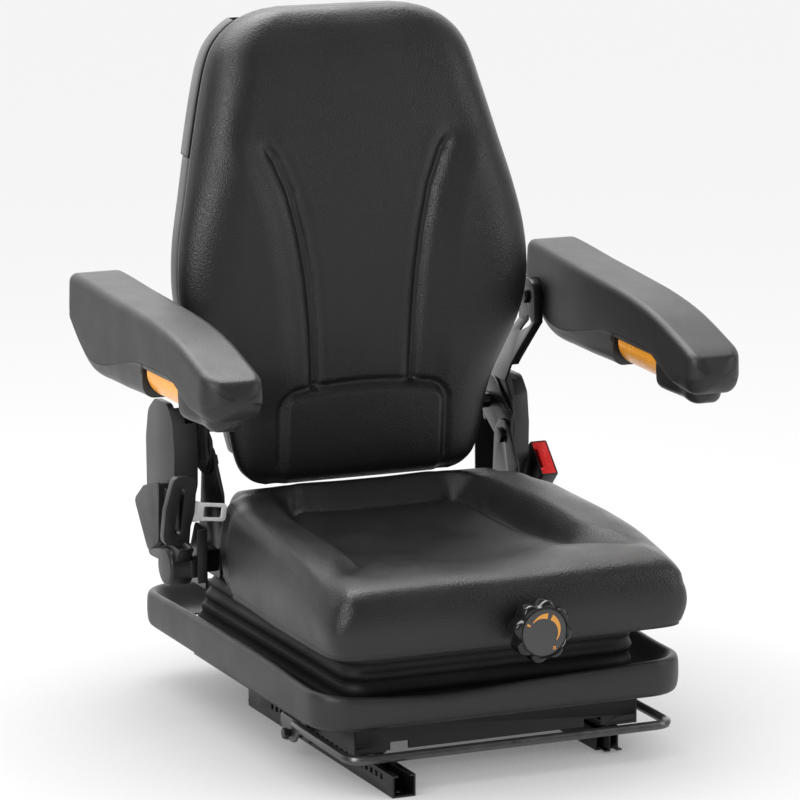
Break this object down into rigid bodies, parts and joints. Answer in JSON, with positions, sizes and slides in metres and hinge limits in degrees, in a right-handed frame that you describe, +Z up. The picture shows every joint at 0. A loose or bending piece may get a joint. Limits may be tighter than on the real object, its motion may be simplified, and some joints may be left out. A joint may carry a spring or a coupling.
{
  "type": "tractor suspension seat",
  "caption": "Operator's seat for a tractor with slide rails, scissor suspension in a moulded dish, bolstered cushion, folding backrest, lifting armrests and a lap belt.",
  "frame": {"origin": "floor level under the middle of the seat's outline", "axes": "+Z up; the occupant faces -Y; +X is the occupant's left"},
  "size_m": [0.72, 0.692, 0.883],
  "materials": {
    "painted_steel": "satin",
    "bright_steel": "satin",
    "moulded_plastic": "matte",
    "dial_plastic": "matte",
    "black_rubber": "matte",
    "vinyl_cover": "satin",
    "skinned_foam": "matte",
    "orange_plastic": "gloss",
    "red_plastic": "satin",
    "belt_webbing": "matte"
  },
  "bodies": {
    "floor_rails": {"lower_rail_left": "painted_steel", "lower_rail_right": "painted_steel"},
    "carriage": {"upper_rail_left": "painted_steel", "upper_rail_right": "painted_steel", "base_frame": "painted_steel", "bump_stop": "black_rubber", "suspension_skirt": "moulded_plastic", "bellows": "black_rubber", "lower_pivot_shaft": "bright_steel"},
    "release_bar": {"slide_release_bar": "bright_steel"},
    "scissor_outer": {"scissor_outer_arms": "painted_steel", "upper_roller_left": "moulded_plastic", "upper_roller_right": "moulded_plastic"},
    "scissor_inner": {"scissor_inner_arms": "painted_steel", "lower_roller_left": "moulded_plastic", "lower_roller_right": "moulded_plastic"},
    "seat_base": {"upper_frame": "painted_steel", "seat_pan": "painted_steel", "seat_cushion": "vinyl_cover", "upper_pivot_shaft": "bright_steel", "hinge_plate_left": "painted_steel", "hinge_plate_right": "painted_steel", "hinge_bolt_left": "bright_steel", "hinge_bolt_right": "bright_steel", "side_cover_left": "moulded_plastic", "side_cover_right": "moulded_plastic", "belt_bracket": "painted_steel", "belt_retractor": "moulded_plastic", "belt_spool_cover": "moulded_plastic", "belt_webbing": "belt_webbing", "tongue_grip": "moulded_plastic", "tongue_blade": "bright_steel", "buckle_housing": "moulded_plastic", "buckle_stalk": "painted_steel", "main_spring_left": "bright_steel", "main_spring_right": "bright_steel"},
    "damper_tube": {"damper_tube": "painted_steel"},
    "damper_rod": {"damper_rod": "bright_steel"},
    "knob": {"weight_knob": "moulded_plastic", "knob_dial": "dial_plastic", "weight_spindle": "bright_steel"},
    "yoke": {"spring_yoke": "painted_steel"},
    "recline_lever": {"recline_lever": "painted_steel"},
    "buckle_button": {"buckle_button": "red_plastic"},
    "backrest": {"backrest_pad": "vinyl_cover", "rear_shell_lower": "moulded_plastic", "rear_shell_upper": "moulded_plastic", "backrest_frame": "painted_steel", "armrest_bracket_left": "painted_steel", "armrest_bracket_right": "painted_steel", "armrest_pin_left": "bright_steel", "armrest_pin_right": "bright_steel"},
    "armrest_left": {"armrest_pad_left": "skinned_foam", "armrest_shell_left": "moulded_plastic"},
    "armrest_right": {"armrest_pad_right": "skinned_foam", "armrest_shell_right": "moulded_plastic"},
    "roller_left": {"tilt_roller_left": "orange_plastic"},
    "roller_right": {"tilt_roller_right": "orange_plastic"}
  },
  "joints": [
    {"name": "slide", "type": "slide", "parent": "floor_rails", "child": "carriage", "axis": [0, 1, 0], "range_m": [-0.075, 0.075]},
    {"name": "release_bar_lift", "type": "hinge", "parent": "carriage", "child": "release_bar", "pos_m": [0, -0.104, 0.03], "axis": [-1, 0, 0], "range_deg": [0, 7], "stiffness_Nm_per_rad": 2, "springref_deg": -5.73},
    {"name": "suspension", "type": "slide", "parent": "carriage", "child": "seat_base", "axis": [0, 0, 1], "range_m": [-0.045, 0], "stiffness_N_per_m": 6000, "springref_m": 0.09, "deforming": ["bellows"]},
    {"name": "scissor_outer_turn", "type": "hinge", "parent": "carriage", "child": "scissor_outer", "pos_m": [0, 0.189, 0.058], "axis": [1, 0, 0], "range_deg": [0, 6.35]},
    {"name": "scissor_inner_turn", "type": "hinge", "parent": "seat_base", "child": "scissor_inner", "pos_m": [0, 0.189, 0.178], "axis": [1, 0, 0], "range_deg": [-6.35, 0]},
    {"name": "damper_turn", "type": "hinge", "parent": "carriage", "child": "damper_tube", "pos_m": [-0.1, -0.128, 0.054], "axis": [1, 0, 0], "range_deg": [-12.2, 0]},
    {"name": "damper_stroke", "type": "slide", "parent": "damper_tube", "child": "damper_rod", "axis": [0, 0.8513, 0.5247], "range_m": [-0.0197, 0]},
    {"name": "weight_knob_turn", "type": "hinge", "parent": "seat_base", "child": "knob", "pos_m": [0.016, -0.346, 0.19], "axis": [0, -1, 0], "range_deg": [-1800, 1800]},
    {"name": "yoke_travel", "type": "slide", "parent": "seat_base", "child": "yoke", "axis": [0, 1, 0], "range_m": [-0.0088, 0.0088]},
    {"name": "recline_lever_lift", "type": "hinge", "parent": "seat_base", "child": "recline_lever", "pos_m": [0.2045, 0.156, 0.235], "axis": [-1, 0, 0], "range_deg": [0, 25], "stiffness_Nm_per_rad": 0.6, "springref_deg": -20.05},
    {"name": "buckle_button_press", "type": "slide", "parent": "seat_base", "child": "buckle_button", "axis": [0, 0.7071, -0.7071], "range_m": [0, 0.004], "stiffness_N_per_m": 500, "springref_m": -0.002},
    {"name": "backrest_recline", "type": "hinge", "parent": "seat_base", "child": "backrest", "pos_m": [0, 0.179, 0.315], "axis": [-1, 0, 0], "range_deg": [-55, 10]},
    {"name": "armrest_left_lift", "type": "hinge", "parent": "backrest", "child": "armrest_left", "pos_m": [-0.283, 0.244, 0.484], "axis": [-1, 0, 0], "range_deg": [0, 95]},
    {"name": "armrest_right_lift", "type": "hinge", "parent": "backrest", "child": "armrest_right", "pos_m": [0.283, 0.244, 0.484], "axis": [-1, 0, 0], "range_deg": [0, 95]},
    {"name": "tilt_roller_left_turn", "type": "hinge", "parent": "armrest_left", "child": "roller_left", "pos_m": [-0.3215, -0.1, 0.4725], "axis": [0, 1, 0], "continuous": true},
    {"name": "tilt_roller_right_turn", "type": "hinge", "parent": "armrest_right", "child": "roller_right", "pos_m": [0.3215, -0.09917, 0.4575], "axis": [0, 0.999, 0.0436], "continuous": true}
  ],
  "couplings": [
    {"joint": "scissor_outer_turn", "follows": "suspension", "rad_per_m": -2.447},
    {"joint": "scissor_inner_turn", "follows": "suspension", "rad_per_m": 2.447},
    {"joint": "damper_turn", "follows": "suspension", "rad_per_m": 4.7},
    {"joint": "damper_stroke", "follows": "suspension", "ratio": 0.4342},
    {"joint": "yoke_travel", "follows": "weight_knob_turn", "m_per_rad": 0.00027852}
  ]
}
